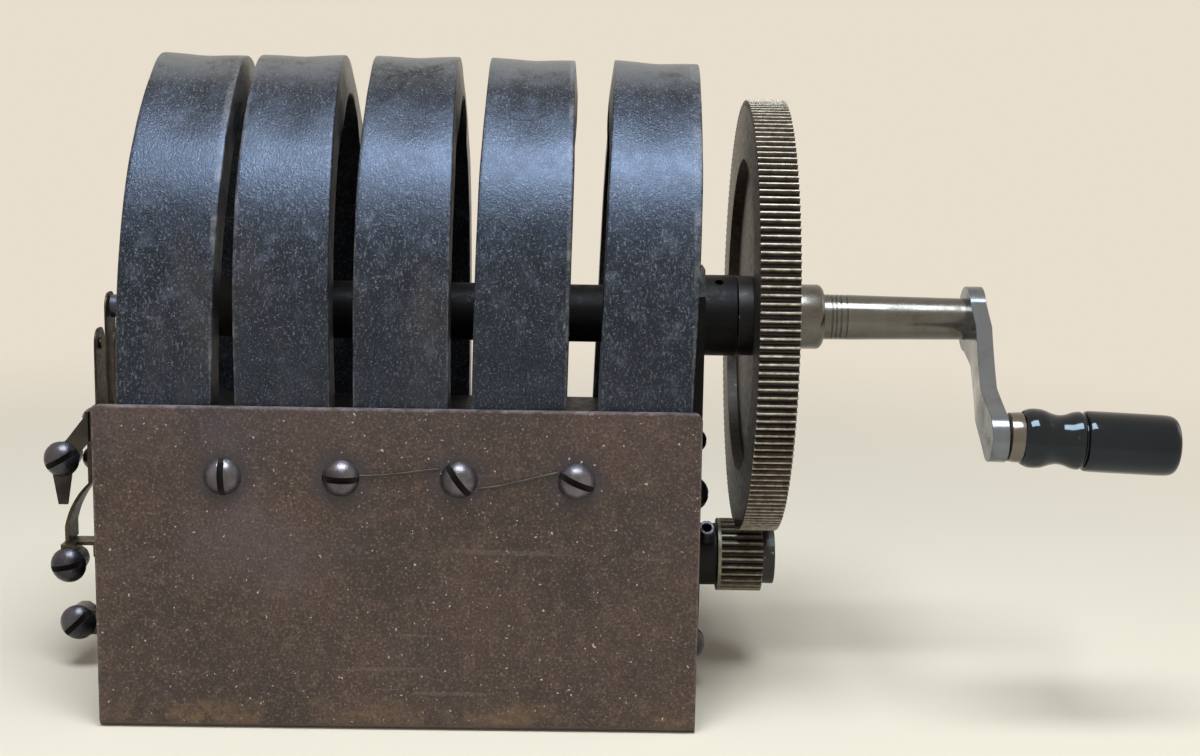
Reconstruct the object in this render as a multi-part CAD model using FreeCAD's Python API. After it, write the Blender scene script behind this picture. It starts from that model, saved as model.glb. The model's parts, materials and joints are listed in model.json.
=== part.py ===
import FreeCAD, Part
import math
import os

# Hand-cranked magneto generator: five horseshoe magnets over an iron pole case, with a
# large spur gear on the crank shaft that drives a small pinion on the armature below.
# Millimetres. +X runs along the shafts towards the crank, +Y away from the lettered front,
# +Z up. The origin is the middle of the underside of the case.

V = FreeCAD.Vector
AXIS_X = V(1, 0, 0)
AXIS_Y = V(0, 1, 0)
AXIS_Z = V(0, 0, 1)

# Folded steel case
case_length = 118.8
case_half_depth = 42.0
case_front_height = 65.3
case_rear_height = 53.3
case_sheet = 1.6
case_inner_bend = 0.4
case_corner_radius = 1.6

# Horseshoe magnets
magnet_width = 18.6
magnet_thickness = 8.0
magnet_top = 133.1
magnet_side_radius = 60.0
magnet_crown_radius = 20.0
magnet_pitch = 23.05
magnet_row_shift = 0.4
magnet_last_shift = 1.7

# Gear train
gear_module = 25.4 / 48
gear_teeth = 172
pinion_teeth = 28
gear_backlash = 0.12
gear_pressure_angle = 20.0
gear_root_depth = 1.25
gear_face_gap = 1.2
gear_width = 7.9
gear_rim_inner_radius = 33.5
gear_recess = 2.2
gear_hub_radius = 9.5
hub_gap = 0.3
notch_depth = 2.4

# Shafts
armature_axis_z = 26.23
armature_shaft_radius = 3.15
crank_shaft_radius = 4.6
running_clearance = 0.05
crank_tip_radius = 2.45
crank_travel = 2.0
drive_pin_radius = 1.1
drive_pin_length = 16.0
tip_neck_gap = 0.2

# Pole pieces and armature
pole_inset = 1.4
pole_top = 55.0
pole_arm_thickness = 9.0
pole_horn_gap = 16.0
pole_wall = 5.2
air_gap = 0.6
armature_radius = 21.0
armature_length = 96.0
armature_neck = 11.0
armature_lip = 5.0
winding_clearance = 0.4
winding_inset = 0.5
spacer_thickness = 2.4
bridge_thickness = 5.0

# End brackets
bracket_disc_radius = 24.6
bracket_disc_thickness = 2.8
bracket_arm_thickness = 3.6
bracket_arm_half_width = 8.7
bracket_top = 89.5
bracket_ear_width = 5.0
crank_boss_radius = 8.7
crank_boss_length = 6.8
contact_crank_boss_length = 0.6
armature_boss_radius = 6.75
armature_boss_length = 4.8
contact_boss_radius = 7.1
contact_boss_length = 6.9
contact_pin_reach = 1.2
contact_pin_step = 0.8
oil_hole_radius = 1.0
oil_hole_share = 0.45
oil_hole_angle = 28.0
oil_cup_angle = 45.0
oil_cup_radius = 1.8
oil_cup_reach = 4.4
sleeve_radius = 6.2
sleeve_clearance = 0.25

# Screws
clamp_screw_z = 51.5
rear_screw_z = 47.6
clamp_head_radius = 3.7
clamp_head_height = 2.5
clamp_shank_radius = 1.95
clamp_shank_length = 15.0
head_sides = 10
shank_sides = 6
plate_screw_circle = 20.5
plate_screw_angle = 53.0
plate_head_radius = 3.5
plate_head_height = 2.2
plate_shank_radius = 1.7
arm_screw_z = 51.6
arm_head_radius = 2.5
arm_head_height = 1.6
arm_shank_radius = 1.3
arm_screw_grip = 6.0
tie_wire_radius = 0.22
tie_wire_end_gap = 0.1
tie_wire_ends = [(0.9, 2.0), (-1.4, 1.6)]

# Pinion
pinion_flange = 0.7
pinion_teeth_width = 9.0
pinion_collar_length = 2.7
pinion_collar_radius = 6.3

# Crank and grip
collar_radius = 6.95
collar_gap = 1.2
collar_length = 8.5
collar_bevel = 0.5
collar_round = 0.8
shank_length = 30.9
shank_radius = 4.85
shank_tip_radius = 4.45
arm_head_radius_crank = 7.05
arm_thickness = 3.4
arm_length = 44.6
arm_drop_angle = 23.2
arm_lean = 2.9
arm_waist_half_width = 4.0
arm_waist_share = 0.55
arm_neck_share = 0.5
arm_wrist_share = 0.86
arm_bend_shares = (0.25, 0.75)
arm_eye_radius = 5.0
grip_tilt = 2.4
ferrule_length = 3.1
ferrule_radius = 4.95
grip_neck_length = 12.0
grip_body_length = 18.6
grip_body_radius = 6.0
grip_bulge_radius = 5.7
grip_bulge_start = 1.9
grip_bulge_end = 4.3
grip_waist_radius = 4.9
grip_waist_at = 7.2
grip_flare_at = 11.0
grip_shoulder = 0.75
grip_end_bevel = 1.2
grip_bore_reach = 11.2
grip_gap = 0.3
grip_pin_radius = 1.7

# Contact springs and terminals on the left end
stack_bottom = 43.0
stack_top = 57.0
stack_half_width = 5.0
stack_screw_inset = 2.8
blade_half_width = 4.0
blade_thickness = 0.45
insulator_inner = 2.3
insulator_middle = 1.1
insulator_outer = 1.95
clamp_plate_thickness = 1.2
fixed_blade_top = 74.4
moving_blade_top = 82.2
contact_point_z = 71.0
contact_point_radius = 1.2
contact_point_height = 0.4
blade_corner_radius = 3.2
spring_gap = 0.3
stack_head_radius = 2.7
stack_head_height = 2.0
terminal_head_radius = 3.9
terminal_head_height = 2.6
terminal_shank_radius = 1.9
terminal_post_radius = 3.0
terminal_post_length = 6.4
terminal_face_y = -5.6
lug_thickness = 0.8
lug_half_width = 2.8
lug_tab_length = 10.0
lug_tab_half_width = 2.6
lug_tip_half_width = 1.0
eye_plate_margin = 0.3
terminal_reaches = [14.6, 13.8, 12.1]
terminal_heights = [46.6, 23.2, 10.4]
strap_offset = 0.2
strap_knee_drop = 2.0
strap_foot_rise = 8.0
strap_toe_rise = 4.4
strap_swell_share = 0.7
strap_swell_drop = 0.3
strap_swell_normal = (-0.8, 0.6)
strap_ear_rise = 3.0
strap_ear_left = 1.6
strap_ear_right = 1.2
strap_ear_overlap = 2.0
tongue_half_width = 2.5
tongue_pad_drop = 2.0
lower_lug_foot_end = 6.0
lower_lug_screw_y = 2.0

# Mounting holes in the underside
mount_hole_radius = 1.8
mount_hole_depth = 10.0
mount_spacing_x = 80.0
mount_spacing_y = 54.0

# Flat sides of small turned and cast pieces, and how far a cut or a joined boss runs past
turned_sides = 24
boss_sides = 30
wheel_sides = 48
past = 1.0
overlap = 0.5
near_zero = 0.01

# Sizes worked out from the ones above
half_length = case_length / 2
case_bend_radius = case_sheet + case_inner_bend
magnet_half_depth = case_half_depth - case_sheet
pole_half_depth = magnet_half_depth - magnet_thickness
pole_half_length = half_length - pole_inset
bore_radius = armature_radius + air_gap
centre_distance = gear_module * (gear_teeth + pinion_teeth) / 2
crank_axis_z = armature_axis_z + centre_distance
gear_outer_radius = gear_module * (gear_teeth + 2) / 2
disc_face_x = pole_half_length + bracket_disc_thickness
arm_face_x = pole_half_length + bracket_arm_thickness
crank_boss_end = arm_face_x + crank_boss_length
gear_face_x = crank_boss_end + gear_face_gap
pinion_face_x = disc_face_x + armature_boss_length + hub_gap
pinion_teeth_end = pinion_face_x + pinion_flange + pinion_teeth_width
pinion_collar_end = pinion_teeth_end + pinion_collar_length
collar_start_x = gear_face_x + gear_width + collar_gap
collar_end_x = collar_start_x + collar_length
arm_head_x = collar_end_x + shank_length
magnet_columns = [magnet_row_shift + magnet_pitch * i for i in range(-2, 3)]
screw_columns = [x + magnet_pitch / 2 for x in magnet_columns[:4]]
magnet_columns[4] += magnet_last_shift
terminals = [(-disc_face_x - reach, z) for reach, z in zip(terminal_reaches, terminal_heights)]

stack_inner_x = -arm_face_x - insulator_inner
stack_moving_x = stack_inner_x - blade_thickness - insulator_middle
stack_outer_x = stack_moving_x - blade_thickness - insulator_outer
stack_plate_x = stack_outer_x - blade_thickness
stack_face_x = stack_plate_x - clamp_plate_thickness
crank_tip_x = stack_moving_x + spring_gap
armature_contact_end = -disc_face_x - contact_boss_length - contact_pin_reach


def box(x0, x1, y0, y1, z0, z1):
    return Part.makeBox(x1 - x0, y1 - y0, z1 - z0, V(x0, y0, z0))


def rod_x(x0, x1, radius, y=0.0, z=0.0):
    return Part.makeCylinder(radius, x1 - x0, V(x0, y, z), AXIS_X)


def rod_y(y0, y1, radius, x=0.0, z=0.0):
    return Part.makeCylinder(radius, y1 - y0, V(x, y0, z), AXIS_Y)


def rod_z(z0, z1, radius, x=0.0, y=0.0):
    return Part.makeCylinder(radius, z1 - z0, V(x, y, z0), AXIS_Z)


def fuse(*shapes):
    return shapes[0].multiFuse(list(shapes[1:])).removeSplitter()


def outline(points):
    """Closed wire of lines through points; an item of three points is an arc to the last."""
    edges = []
    last = points[0]
    for item in points[1:]:
        if isinstance(item, tuple):
            edges.append(Part.Arc(last, item[0], item[1]).toShape())
            last = item[1]
        else:
            edges.append(Part.LineSegment(last, item).toShape())
            last = item
    if last.distanceToPoint(points[0]) > 1e-6:
        edges.append(Part.LineSegment(last, points[0]).toShape())
    return Part.Wire(edges)


def prism(points, direction):
    return Part.Face(outline(points)).extrude(direction)


def turned_x(profile, z):
    """Solid of revolution about an X axis at height z; profile is (x, radius) pairs."""
    points = [V(x, 0, r) for x, r in profile]
    points = [V(profile[0][0], 0, 0)] + points + [V(profile[-1][0], 0, 0)]
    wire = Part.makePolygon(points + [points[0]])
    solid = Part.Face(wire).revolve(V(0, 0, 0), AXIS_X, 360)
    solid.translate(V(0, 0, z))
    return solid


def bar_of_sides(start, direction, radius, length, sides):
    """Plain many-sided rod; small fasteners and their holes share it."""
    corners = [V(radius * math.cos(2 * math.pi * i / sides),
                 radius * math.sin(2 * math.pi * i / sides), 0) for i in range(sides)]
    rod = Part.Face(Part.makePolygon(corners + [corners[0]])).extrude(V(0, 0, length))
    rod.Placement = FreeCAD.Placement(start, FreeCAD.Rotation(AXIS_Z, direction))
    return rod


def turned_flats(profile, sides):
    """Turned form about the X axis with flat sides, closed by a flat at each end."""
    rings = []
    for x, radius in profile:
        turns = [2 * math.pi * i / sides for i in range(sides)]
        rings.append([V(x, radius * math.cos(a), radius * math.sin(a)) for a in turns])
    faces = [Part.Face(Part.makePolygon(ring + [ring[0]])) for ring in (rings[0], rings[-1])]
    for near, far in zip(rings, rings[1:]):
        for i in range(sides):
            j = (i + 1) % sides
            faces.append(Part.Face(Part.makePolygon([near[i], near[j], far[j], far[i], near[i]])))
    return Part.Solid(Part.Shell(faces))


def plain_screw(direction, place, head_radius, head_height, shank_radius, shank_length):
    """Screw with its head standing on a face at place, pointing out along direction."""
    head = bar_of_sides(place, direction, head_radius, head_height, head_sides)
    return head.fuse(screw_hole(direction, place, shank_radius, shank_length))


def screw_hole(direction, place, radius, depth):
    return bar_of_sides(place, direction * -1, radius, depth, shank_sides)


# Case: one sheet folded into a channel, open at both ends and at the top
def case_channel():
    x = -half_length
    y = case_half_depth
    t = case_sheet
    r = case_bend_radius
    inner = case_inner_bend
    c = r * (1 - math.sqrt(0.5))
    d = inner * (1 - math.sqrt(0.5))
    solid = prism([
        V(x, -y, case_front_height), V(x, -y, r), (V(x, -y + c, c), V(x, -y + r, 0)),
        V(x, y - r, 0), (V(x, y - c, c), V(x, y, r)), V(x, y, case_rear_height),
        V(x, y - t, case_rear_height), V(x, y - t, t + inner),
        (V(x, y - t - d, t + d), V(x, y - t - inner, t)), V(x, -y + t + inner, t),
        (V(x, -y + t + d, t + d), V(x, -y + t, t + inner)), V(x, -y + t, case_front_height),
    ], V(case_length, 0, 0))
    corners = [e for e in solid.Edges if abs(abs(e.CenterOfMass.x) - half_length) < near_zero
               and abs(e.Length - t) < near_zero and e.CenterOfMass.z > case_rear_height - past]
    solid = solid.makeFillet(case_corner_radius, corners)
    for side, z in ((-1, clamp_screw_z), (1, rear_screw_z)):
        solid = solid.cut(clamp_screw_holes(side, z))
    return solid.cut(mount_holes())


def clamp_screw_holes(side, z):
    return Part.makeCompound([
        screw_hole(V(0, side, 0), V(x, side * case_half_depth, z), clamp_shank_radius,
                   clamp_shank_length) for x in screw_columns])


def mount_holes():
    holes = [rod_z(-past, mount_hole_depth, mount_hole_radius, sx * mount_spacing_x / 2,
                   sy * mount_spacing_y / 2) for sx in (-1, 1) for sy in (-1, 1)]
    return Part.makeCompound(holes)


# Magnets: a flat bar bent over a former into a pointed horseshoe
def magnet():
    side_y = magnet_side_radius - magnet_half_depth
    crown_z = magnet_top - magnet_crown_radius
    reach = magnet_side_radius - magnet_crown_radius
    spring_z = crown_z - math.sqrt(reach ** 2 - side_y ** 2)
    turn = math.acos(side_y / reach)
    half = magnet_width / 2
    foot_z = case_bend_radius

    def arch(depth):
        """Points up the front leg, over the crown and down, depth inside the outer face."""
        side = magnet_side_radius - depth
        crown = magnet_crown_radius - depth

        def on_side(share):
            a = turn * share
            return side_y - side * math.cos(a), spring_z + side * math.sin(a)
        y0, z0 = on_side(0)
        y1, z1 = on_side(0.5)
        y2, z2 = on_side(1)
        x = -half
        return [V(x, y0, foot_z), V(x, y0, z0), (V(x, y1, z1), V(x, y2, z2)),
                (V(x, 0, crown_z + crown), V(x, -y2, z2)), (V(x, -y1, z1), V(x, -y0, z0)),
                V(x, -y0, foot_z)]

    length = V(magnet_width, 0, 0)
    return prism(arch(0), length).cut(prism(arch(magnet_thickness), length))


# Iron pole pieces, bored for the armature and clamped inside the magnet legs
def pole_piece(side, screw_z):
    inner = pole_horn_gap / 2
    block = box(-pole_half_length, pole_half_length, min(side * inner, side * pole_half_depth),
                max(side * inner, side * pole_half_depth), case_sheet, pole_top)
    shoulder = rod_x(-pole_half_length, pole_half_length, bore_radius + pole_wall,
                     0, armature_axis_z)
    arm_inner = side * (pole_half_depth - pole_arm_thickness)
    above = box(-pole_half_length, pole_half_length, min(0, arm_inner), max(0, arm_inner),
                armature_axis_z, pole_top + past).cut(shoulder)
    solid = block.cut(above)
    solid = solid.cut(rod_x(-pole_half_length - past, pole_half_length + past, bore_radius,
                            0, armature_axis_z))
    return solid.cut(clamp_screw_holes(side, screw_z)).cut(mount_holes())


def pole_spacer():
    half = pole_horn_gap / 2
    return box(-pole_half_length, pole_half_length, -half, half, case_sheet,
               case_sheet + spacer_thickness)


def pole_bridge():
    half = pole_half_depth - pole_arm_thickness
    bridge = box(-pole_half_length, pole_half_length, -half, half,
                 pole_top - bridge_thickness, pole_top)
    shoulder = rod_x(-pole_half_length, pole_half_length, bore_radius + pole_wall,
                     0, armature_axis_z)
    bridge = bridge.cut(shoulder)
    return bridge.cut(arm_screw_hole())


def arm_screw_hole():
    return screw_hole(AXIS_X, V(arm_face_x, 0, arm_screw_z), arm_shank_radius,
                      bracket_arm_thickness + arm_screw_grip)


# End brackets: a disc over the armature bore with an arm up to the crank shaft
def bracket_blank(side, boss_radius, boss_length, crank_boss):
    def span(x0, x1):
        return min(side * x0, side * x1), max(side * x0, side * x1)
    disc = rod_x(*span(pole_half_length, disc_face_x), bracket_disc_radius, 0, armature_axis_z)
    w = bracket_arm_half_width
    ear = bracket_ear_width
    x = side * pole_half_length
    arm = prism([V(x, -w, armature_axis_z), V(x, -w, crank_axis_z + ear),
                 V(x, -ear, bracket_top), V(x, ear, bracket_top),
                 V(x, w, crank_axis_z + ear), V(x, w, armature_axis_z)],
                V(side * bracket_arm_thickness, 0, 0))
    out = V(side, 0, 0)
    boss = bar_of_sides(V(side * (disc_face_x - overlap), 0, armature_axis_z), out, boss_radius,
                        boss_length + overlap, boss_sides)
    upper = bar_of_sides(V(side * (arm_face_x - overlap), 0, crank_axis_z), out,
                         crank_boss_radius, crank_boss + overlap, boss_sides)
    solid = fuse(disc, arm, boss, upper)
    near = pole_half_length - past
    far = arm_face_x + boss_length + crank_boss + past
    shaft = armature_shaft_radius + running_clearance
    solid = solid.cut(rod_x(*span(near, far), shaft, 0, armature_axis_z))
    crank = crank_shaft_radius + running_clearance
    solid = solid.cut(rod_x(*span(near, far), crank, 0, crank_axis_z))
    for place in plate_screw_places(side):
        solid = solid.cut(screw_hole(out, place, plate_shank_radius, bracket_disc_thickness))
    return solid


def plate_screw_places(side):
    """Three screws round the disc: two towards the front, clear of the arm, one behind."""
    spread = math.pi - math.radians(plate_screw_angle)
    angles = [0, spread, -spread]
    return [V(side * disc_face_x, plate_screw_circle * math.cos(a),
              armature_axis_z + plate_screw_circle * math.sin(a)) for a in angles]


def gear_end_bracket():
    solid = bracket_blank(1, armature_boss_radius, armature_boss_length, crank_boss_length)
    a = math.radians(oil_hole_angle)
    x = arm_face_x + oil_hole_share * crank_boss_length
    hole = bar_of_sides(V(x, 0, crank_axis_z), V(0, -math.sin(a), math.cos(a)),
                        oil_hole_radius, crank_boss_radius + past, shank_sides)
    cup = oil_cup_blank(oil_hole_radius)
    return solid.cut(hole).cut(cup).cut(arm_screw_hole())


def contact_end_bracket():
    solid = bracket_blank(-1, contact_boss_radius, contact_boss_length,
                          contact_crank_boss_length)
    solid = solid.cut(stack_screw_holes())
    return solid.cut(lower_lug_screw_hole())


def oil_cup_blank(radius):
    x = disc_face_x + armature_boss_length / 2
    a = math.radians(oil_cup_angle)
    direction = V(0, -math.sin(a), math.cos(a))
    start = V(x, 0, armature_axis_z) + direction * (armature_shaft_radius + running_clearance)
    length = armature_boss_radius + oil_cup_reach - armature_shaft_radius - running_clearance
    return bar_of_sides(start, direction, radius, length, head_sides)


def oil_cup(bracket):
    """Short oil pipe that stands out of the armature boss at 45 degrees to the front."""
    cup = oil_cup_blank(oil_cup_radius).cut(oil_cup_blank(oil_hole_radius))
    return cup.cut(bracket)


def shaft_sleeve():
    start = V(-pole_half_length, 0, crank_axis_z)
    length = 2 * pole_half_length
    bore = crank_shaft_radius + sleeve_clearance
    tube = bar_of_sides(start, AXIS_X, sleeve_radius, length, turned_sides)
    return tube.cut(bar_of_sides(start, AXIS_X, bore, length, turned_sides))


# Fasteners
def clamp_screws():
    sizes = (clamp_head_radius, clamp_head_height, clamp_shank_radius, clamp_shank_length)
    return Part.makeCompound([
        plain_screw(V(0, side, 0), V(x, side * case_half_depth, z), *sizes)
        for side, z in ((-1, clamp_screw_z), (1, rear_screw_z)) for x in screw_columns])


def bracket_screws():
    sizes = (plate_head_radius, plate_head_height, plate_shank_radius, bracket_disc_thickness)
    return Part.makeCompound([plain_screw(V(side, 0, 0), place, *sizes)
                              for side in (-1, 1) for place in plate_screw_places(side)])


def arm_screw():
    return plain_screw(AXIS_X, V(arm_face_x, 0, arm_screw_z), arm_head_radius, arm_head_height,
                       arm_shank_radius, bracket_arm_thickness + arm_screw_grip)


def tie_wire(x0, z0, x1, z1):
    y = -case_half_depth - tie_wire_radius - running_clearance
    start = V(x0, y, z0)
    run = V(x1, y, z1) - start
    return bar_of_sides(start, run, tie_wire_radius, run.Length, shank_sides)


def tie_wires():
    """Two short wires, each from the side of one screw head to the next."""
    edge = clamp_head_radius + tie_wire_end_gap
    runs = zip(tie_wire_ends, screw_columns[1:], screw_columns[2:])
    return Part.makeCompound([
        tie_wire(x0 + edge, clamp_screw_z + rise0, x1 - edge, clamp_screw_z + rise1)
        for (rise0, rise1), x0, x1 in runs])


# Gear and pinion: straight-flanked teeth of one module, cut to run with a little backlash
def toothed_disc(teeth, x0, x1, tooth_on_axis):
    """Spur teeth round an X axis at the origin; a tooth or a gap is centred on -Z."""
    pitch_radius = gear_module * teeth / 2
    tip_radius = pitch_radius + gear_module
    root_radius = pitch_radius - gear_root_depth * gear_module
    step = 2 * math.pi / teeth
    pressure = math.tan(math.radians(gear_pressure_angle))
    half_pitch = (math.pi * gear_module / 2 - gear_backlash) / 2 / pitch_radius
    half_tip = half_pitch - pressure * gear_module / tip_radius
    half_root = half_pitch + pressure * gear_root_depth * gear_module / root_radius
    phase = -math.pi / 2 if tooth_on_axis else -math.pi / 2 + step / 2

    def at(radius, angle):
        return V(x0, radius * math.cos(angle), radius * math.sin(angle))

    points = []
    for i in range(teeth):
        a = phase + i * step
        points += [at(root_radius, a - half_root), at(tip_radius, a - half_tip),
                   at(tip_radius, a + half_tip), at(root_radius, a + half_root)]
    return Part.Face(Part.makePolygon(points + [points[0]])).extrude(V(x1 - x0, 0, 0))


def gear_wheel():
    """Wheel and hub in one; a V notch across the hub's crank end takes the drive pin."""
    x0 = gear_face_x
    x1 = gear_face_x + gear_width
    left = crank_boss_end + hub_gap
    floor = x0 + gear_recess
    wheel = toothed_disc(gear_teeth, x0, x1, True)
    recess = bar_of_sides(V(x0, 0, 0), AXIS_X, gear_rim_inner_radius, gear_recess, wheel_sides)
    hub = bar_of_sides(V(left, 0, 0), AXIS_X, gear_hub_radius, floor - left, turned_sides)
    wheel = wheel.cut(recess).fuse(hub)
    wheel = wheel.cut(rod_x(left - past, x1 + past, crank_shaft_radius + running_clearance))
    reach = drive_pin_length / 2 + hub_gap
    wheel = wheel.cut(prism([V(x1 - notch_depth, -reach, 0),
                             V(x1 + past, -reach, notch_depth + past),
                             V(x1 + past, -reach, -notch_depth - past)], V(0, 2 * reach, 0)))
    wheel.translate(V(0, 0, crank_axis_z))
    return wheel


def pinion():
    teeth = toothed_disc(pinion_teeth, pinion_face_x + pinion_flange, pinion_teeth_end, False)
    teeth.rotate(V(0, 0, 0), AXIS_X, 180)
    flange = bar_of_sides(V(pinion_face_x, 0, 0), AXIS_X, gear_module * (pinion_teeth + 2) / 2,
                          pinion_flange, turned_sides)
    collar = bar_of_sides(V(pinion_teeth_end, 0, 0), AXIS_X, pinion_collar_radius,
                          pinion_collar_length, turned_sides)
    solid = fuse(teeth, flange, collar)
    solid = solid.cut(rod_x(pinion_face_x - past, pinion_collar_end + past,
                            armature_shaft_radius))
    solid.translate(V(0, 0, armature_axis_z))
    return solid


# Armature: a shuttle core with one winding in its two side slots
def armature_core():
    half = armature_length / 2
    core = rod_x(-half, half, armature_radius, 0, armature_axis_z)
    for side in (-1, 1):
        y0 = side * armature_neck / 2
        y1 = side * (armature_radius + past)
        slot = box(-half - past, half + past, min(y0, y1), max(y0, y1),
                   armature_axis_z - armature_radius + armature_lip,
                   armature_axis_z + armature_radius - armature_lip)
        core = core.cut(slot)
    return core.cut(rod_x(-half - past, half + past, armature_shaft_radius, 0, armature_axis_z))


def armature_winding():
    half = armature_length / 2
    z0 = armature_axis_z - armature_radius + armature_lip + winding_clearance
    z1 = armature_axis_z + armature_radius - armature_lip - winding_clearance
    coils = []
    for side in (-1, 1):
        y0 = side * armature_neck / 2
        y1 = side * armature_radius
        coil = box(-half, half, min(y0, y1), max(y0, y1), z0, z1)
        round_off = rod_x(-half, half, armature_radius - winding_inset, 0, armature_axis_z)
        coils.append(coil.common(round_off))
    return Part.makeCompound(coils)


def armature_shaft():
    step = -disc_face_x - contact_boss_length
    pin = armature_shaft_radius - contact_pin_step
    return turned_x([(armature_contact_end, pin), (step, pin), (step, armature_shaft_radius),
                     (pinion_collar_end, armature_shaft_radius)], armature_axis_z)


# Crank: shaft, shank and arm turn together; the shaft also slides a little in the gear
def crank_shaft():
    neck = -arm_face_x - tip_neck_gap
    shaft = turned_x([(crank_tip_x, crank_tip_radius), (neck, crank_tip_radius),
                      (neck, crank_shaft_radius), (collar_start_x, crank_shaft_radius)],
                     crank_axis_z)
    return shaft.cut(drive_pin_blank())


def drive_pin_blank():
    """The pin rests in the hub's notch, a running clearance off both of its flanks."""
    seat = (drive_pin_radius + 2 * running_clearance) * math.sqrt(2)
    x = gear_face_x + gear_width - notch_depth + seat
    return rod_y(-drive_pin_length / 2, drive_pin_length / 2, drive_pin_radius, x, crank_axis_z)


def crank_collar():
    """Collar and tapered shank in one, turned from the bar."""
    profile = [(collar_start_x, collar_radius - collar_bevel),
               (collar_start_x + collar_bevel, collar_radius),
               (collar_end_x - collar_round, collar_radius),
               (collar_end_x, collar_radius - collar_round),
               (collar_end_x, shank_radius), (arm_head_x, shank_tip_radius)]
    collar = turned_flats(profile, turned_sides)
    collar.translate(V(0, 0, crank_axis_z))
    return collar


def eye_centre():
    a = math.radians(arm_drop_angle)
    return V(arm_head_x - arm_lean, -arm_length * math.cos(a),
             crank_axis_z - arm_length * math.sin(a))


def crank_arm():
    """Forged arm, drawn along -Y and then turned down; it leans in towards the gear."""
    t = arm_thickness
    wh = arm_head_radius_crank
    we = arm_eye_radius
    w = arm_waist_half_width
    end = -arm_length
    neck = -arm_neck_share * wh
    wrist = arm_wrist_share * wh
    waist = arm_waist_share * end
    x = -arm_lean - past
    blank = prism([
        V(x, neck, wrist), (V(x, waist, w), V(x, end, we)),
        (V(x, end - we, 0), V(x, end, -we)), (V(x, waist, -w), V(x, neck, -wrist)),
        (V(x, wh, 0), V(x, neck, wrist))], V(t + arm_lean + 2 * past, 0, 0))
    first, second = arm_bend_shares
    back = [V(0, wh + past, -wh), V(0, first * end, -wh), V(-arm_lean, second * end, -wh),
            V(-arm_lean, end - we - past, -wh)]
    front = [p + V(t, 0, 0) for p in reversed(back)]
    arm = prism(back + front, V(0, 0, 2 * wh)).common(blank)
    arm.rotate(V(0, 0, 0), AXIS_X, arm_drop_angle)
    arm.translate(V(arm_head_x, 0, crank_axis_z))
    return arm.cut(grip_pin())


def tilted(shape):
    """Turn a piece drawn along +X from the eye's outer face to the grip's own slight tilt."""
    centre = eye_centre()
    shape.rotate(V(0, 0, 0), AXIS_Y, grip_tilt)
    shape.translate(centre + V(arm_thickness, 0, 0))
    return shape


def grip_pin():
    """Pin set in the arm's eye, which is bored square to the grip's own tilt."""
    return tilted(rod_x(-arm_thickness, grip_bore_depth(), grip_pin_radius))


def grip_ferrule():
    ring = bar_of_sides(V(grip_gap, 0, 0), AXIS_X, ferrule_radius, ferrule_length - grip_gap,
                        turned_sides)
    bore = grip_pin_radius + running_clearance
    return tilted(ring.cut(rod_x(0, ferrule_length + past, bore)))


def grip_handle():
    """Turned black handle: a bulge, a waist, a flare, a groove and a body with a bevelled end."""
    x0 = ferrule_length
    x1 = x0 + grip_neck_length
    x2 = x1 + grip_body_length
    r = grip_body_radius
    profile = [(x0, grip_waist_radius), (x0 + grip_bulge_start, grip_bulge_radius),
               (x0 + grip_bulge_end, grip_bulge_radius), (x0 + grip_waist_at, grip_waist_radius),
               (x0 + grip_flare_at, grip_bulge_radius), (x1, grip_waist_radius),
               (x1 + grip_shoulder, r), (x2 - grip_end_bevel, r), (x2, r - grip_end_bevel)]
    handle = turned_flats(profile, turned_sides)
    bore = grip_pin_radius + running_clearance
    return tilted(handle.cut(rod_x(0, grip_bore_depth() + grip_gap, bore)))


def grip_bore_depth():
    return ferrule_length + grip_neck_length + grip_bore_reach


# Contact springs: three blades in an insulated stack on the bracket arm
def stack_slab(x_right, thickness):
    return box(x_right - thickness, x_right, -stack_half_width, stack_half_width,
               stack_bottom, stack_top)


def stack_screw_places():
    inset = stack_screw_inset
    x = stack_face_x - lug_thickness
    return [V(x, 0, stack_bottom + inset), V(x, 0, stack_top - inset)]


def stack_screw_length():
    return -pole_half_length - stack_face_x + lug_thickness


def stack_screw_holes():
    return Part.makeCompound([
        screw_hole(V(-1, 0, 0), place, arm_shank_radius, stack_screw_length())
        for place in stack_screw_places()])


def stack_insulators():
    slabs = [stack_slab(-arm_face_x, insulator_inner),
             stack_slab(stack_inner_x - blade_thickness, insulator_middle),
             stack_slab(stack_moving_x - blade_thickness, insulator_outer)]
    return Part.makeCompound([slab.cut(stack_screw_holes()) for slab in slabs])


def stack_clamp_plate():
    return stack_slab(stack_plate_x, clamp_plate_thickness).cut(stack_screw_holes())


def stack_screws():
    return Part.makeCompound([
        plain_screw(V(-1, 0, 0), place, stack_head_radius, stack_head_height,
                    arm_shank_radius, stack_screw_length()) for place in stack_screw_places()])


def blade_strip(x_right, z0, z1):
    """Flat spring strip with its two upper corners rounded."""
    w = blade_half_width
    r = blade_corner_radius
    c = r * (1 - math.sqrt(0.5))
    x = x_right
    corners = [V(x, -w, z0), V(x, -w, z1 - r), (V(x, -w + c, z1 - c), V(x, -w + r, z1)),
               V(x, w - r, z1), (V(x, w - c, z1 - c), V(x, w, z1 - r)), V(x, w, z0)]
    return prism(corners, V(-blade_thickness, 0, 0))


def fixed_blade(x_right, point_side):
    blade = blade_strip(x_right, stack_bottom, fixed_blade_top)
    face = x_right if point_side > 0 else x_right - blade_thickness
    point = bar_of_sides(V(face, 0, contact_point_z), V(point_side, 0, 0),
                         contact_point_radius, contact_point_height, head_sides)
    return fuse(blade, point).cut(stack_screw_holes())


def moving_blade_foot():
    return stack_slab(stack_moving_x, blade_thickness).cut(stack_screw_holes())


def moving_blade():
    """Long middle blade; the tip of the crank shaft presses near its top."""
    return blade_strip(stack_moving_x, stack_top + spring_gap, moving_blade_top)


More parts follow.
